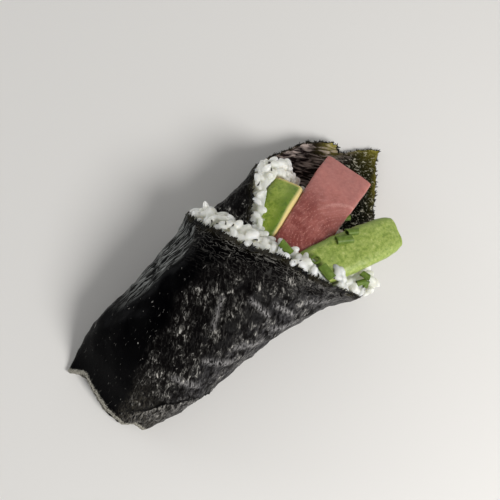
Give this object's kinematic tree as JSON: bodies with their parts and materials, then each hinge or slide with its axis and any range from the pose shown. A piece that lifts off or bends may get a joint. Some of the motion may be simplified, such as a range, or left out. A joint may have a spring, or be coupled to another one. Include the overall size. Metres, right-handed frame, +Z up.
{
  "type": "hand roll",
  "caption": "Seaweed hand roll lying on its side, filled with rice, raw tuna and avocado, with a pinched tail and an open mouth.",
  "frame": {"origin": "centre of the bounding box at its bottom, on the surface that the roll lies on", "axes": "+X along the roll from the pinched tail to the open mouth, +Y to the roll's left side, where the inner turn of the sheet shows, +Z up"},
  "size_m": [0.1646, 0.076, 0.0453],
  "materials": {
    "seaweed": "satin, black-green toasted seaweed with fine glossy wrinkles",
    "rice": "satin, moist cooked white rice",
    "tuna": "satin, moist raw tuna with pale fibre lines",
    "avocado_back": "satin, avocado flesh, green outside to yellow at the cut",
    "avocado_front": "satin, avocado flesh with a mottled light green face"
  },
  "bodies": {
    "root": {"seaweed_wrap": "seaweed", "rice": "rice", "tuna_slice": "tuna", "avocado_back": "avocado_back", "avocado_front": "avocado_front"}
  },
  "joints": []
}
